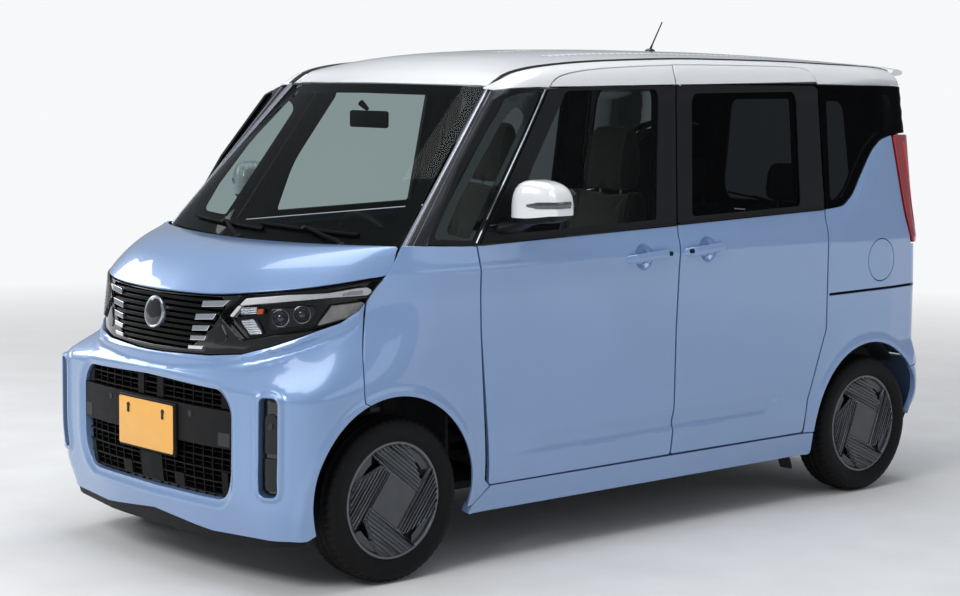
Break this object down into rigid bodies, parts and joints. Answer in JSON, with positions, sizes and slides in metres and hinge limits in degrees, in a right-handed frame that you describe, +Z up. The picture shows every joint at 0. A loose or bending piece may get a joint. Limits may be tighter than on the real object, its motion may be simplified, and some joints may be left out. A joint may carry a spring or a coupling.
{
  "type": "kei car",
  "caption": "Tall two-tone kei car with a short hood, sliding rear doors, upright glasshouse, steered front wheels, hinged front doors, hood and tailgate.",
  "frame": {"origin": "on the ground under the middle of the car's length and width", "axes": "+X to the car's left, +Y to its rear, +Z up"},
  "size_m": [1.856, 3.395, 1.9082],
  "materials": {
    "body_paint": "powder-blue metallic paint, clear coat",
    "roof_paint": "gloss white paint",
    "underbody_paint": "black underbody coating",
    "window_glass": "tinted clear glass",
    "lamp_lens": "clear lens over a dark housing",
    "tail_lamp_lens": "red lens",
    "black_trim": "satin black moulding",
    "plate_sheet": "blank coated plate",
    "tyre": "black rubber",
    "wheel_finish": "dark grey cover on a steel wheel",
    "cast_parts": "bare cast metal",
    "underbody_steel": "dull coated steel",
    "engine_alloy": "dull alloy",
    "seat_cloth": "light grey woven cloth",
    "dash_plastic": "grained dark plastic"
  },
  "bodies": {
    "chassis": {"floor_pan": "underbody_paint", "body_side_left": "body_paint", "body_side_right": "body_paint", "roof_panel": "roof_paint", "front_bumper": "body_paint", "front_fenders": "body_paint", "sliding_door_left": "body_paint", "sliding_door_right": "body_paint", "rear_bumper": "body_paint", "windshield": "window_glass", "fixed_side_glass": "window_glass", "headlamps": "lamp_lens", "tail_lamps": "tail_lamp_lens", "grilles": "black_trim", "front_plate": "plate_sheet", "front_wipers": "black_trim", "antenna": "black_trim", "rear_axle": "underbody_steel", "front_suspension": "underbody_steel", "engine": "engine_alloy", "exhaust": "underbody_steel", "front_seats": "seat_cloth", "rear_seat": "seat_cloth", "dashboard": "dash_plastic", "steering_wheel": "dash_plastic"},
    "hood": {"hood": "body_paint"},
    "front_door_left": {"front_door_left": "body_paint", "front_door_glass_left": "window_glass", "mirror_left": "roof_paint"},
    "front_door_right": {"front_door_right": "body_paint", "front_door_glass_right": "window_glass", "mirror_right": "roof_paint"},
    "tailgate": {"tailgate": "body_paint", "tailgate_glass": "window_glass", "rear_plate": "plate_sheet"},
    "knuckle_left": {"knuckle_left": "cast_parts"},
    "knuckle_right": {"knuckle_right": "cast_parts"},
    "wheel_front_left": {"tyre_front_left": "tyre", "wheel_front_left": "wheel_finish"},
    "wheel_front_right": {"tyre_front_right": "tyre", "wheel_front_right": "wheel_finish"},
    "wheel_rear_left": {"tyre_rear_left": "tyre", "wheel_rear_left": "wheel_finish"},
    "wheel_rear_right": {"tyre_rear_right": "tyre", "wheel_rear_right": "wheel_finish"}
  },
  "joints": [
    {"name": "hood_hinge", "type": "hinge", "parent": "chassis", "child": "hood", "pos_m": [0, -1.15, 1.103], "axis": [-1, 0, 0], "range_deg": [0, 55]},
    {"name": "front_door_left_hinge", "type": "hinge", "parent": "chassis", "child": "front_door_left", "pos_m": [0.722, -0.75, 0.66], "axis": [0, 0, -1], "range_deg": [0, 65]},
    {"name": "front_door_right_hinge", "type": "hinge", "parent": "chassis", "child": "front_door_right", "pos_m": [-0.722, -0.75, 0.66], "axis": [0, 0, 1], "range_deg": [0, 65]},
    {"name": "tailgate_hinge", "type": "hinge", "parent": "chassis", "child": "tailgate", "pos_m": [0, 1.576, 1.746], "axis": [1, 0, 0], "range_deg": [0, 80]},
    {"name": "steer_left", "type": "hinge", "parent": "chassis", "child": "knuckle_left", "pos_m": [0.59, -1.1875, 0.2785], "axis": [0, 0, 1], "range_deg": [-35, 35]},
    {"name": "steer_right", "type": "hinge", "parent": "chassis", "child": "knuckle_right", "pos_m": [-0.59, -1.1875, 0.2785], "axis": [0, 0, 1], "range_deg": [-35, 35]},
    {"name": "spin_front_left", "type": "hinge", "parent": "knuckle_left", "child": "wheel_front_left", "pos_m": [0.65, -1.1875, 0.2785], "axis": [1, 0, 0], "continuous": true},
    {"name": "spin_front_right", "type": "hinge", "parent": "knuckle_right", "child": "wheel_front_right", "pos_m": [-0.65, -1.1875, 0.2785], "axis": [1, 0, 0], "continuous": true},
    {"name": "spin_rear_left", "type": "hinge", "parent": "chassis", "child": "wheel_rear_left", "pos_m": [0.65, 1.3075, 0.2785], "axis": [1, 0, 0], "continuous": true},
    {"name": "spin_rear_right", "type": "hinge", "parent": "chassis", "child": "wheel_rear_right", "pos_m": [-0.65, 1.3075, 0.2785], "axis": [1, 0, 0], "continuous": true}
  ],
  "couplings": [
    {"joint": "steer_right", "follows": "steer_left", "ratio": 1}
  ]
}
